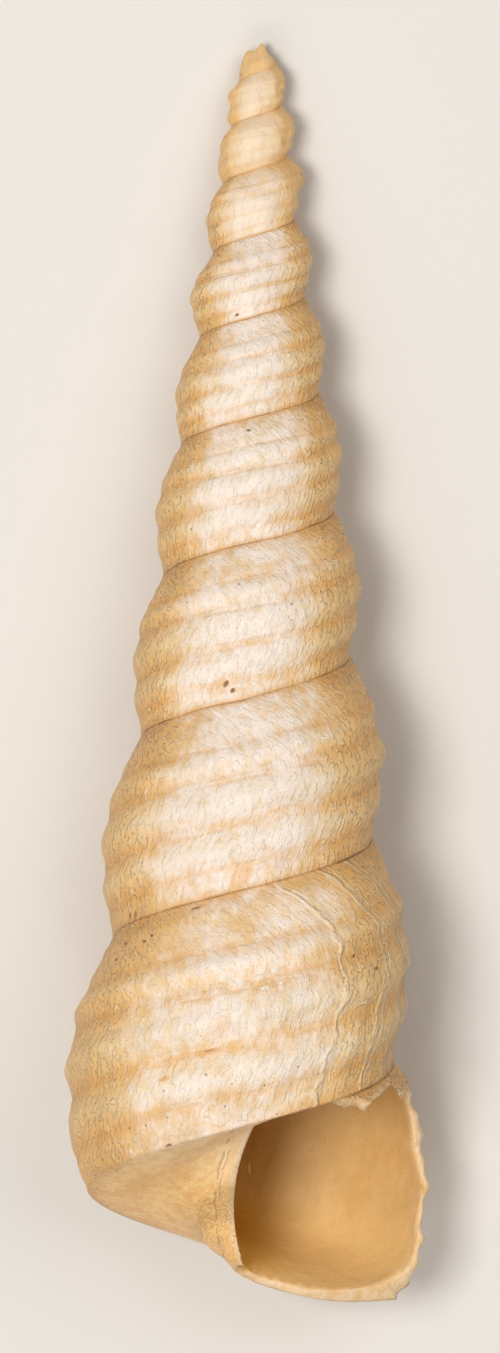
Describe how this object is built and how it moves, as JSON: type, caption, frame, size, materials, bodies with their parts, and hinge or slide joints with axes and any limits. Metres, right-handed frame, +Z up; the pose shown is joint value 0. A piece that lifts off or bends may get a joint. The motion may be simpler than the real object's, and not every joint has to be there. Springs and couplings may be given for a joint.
{
  "type": "turritella fossil",
  "caption": "Slender coiled fossil turret shell with corded whorls, a broken tip and an open mouth, lying on its back on a small worn flat.",
  "frame": {"origin": "centre of the bounding box in X and Y, on the surface the shell lies on", "axes": "+Y from the mouth end towards the tip, +Z up out of the mouth, +X to the side the mouth is on; the shell's own axis leans 8.8 degrees down towards the tip"},
  "size_m": [0.0186, 0.0626, 0.0172],
  "materials": {
    "fossil_shell": "worn chalky shell, peach cream with tan flanks, brown in the sutures, satin tan inside the mouth"
  },
  "bodies": {
    "root": {"turritella_shell": "fossil_shell"}
  },
  "joints": []
}
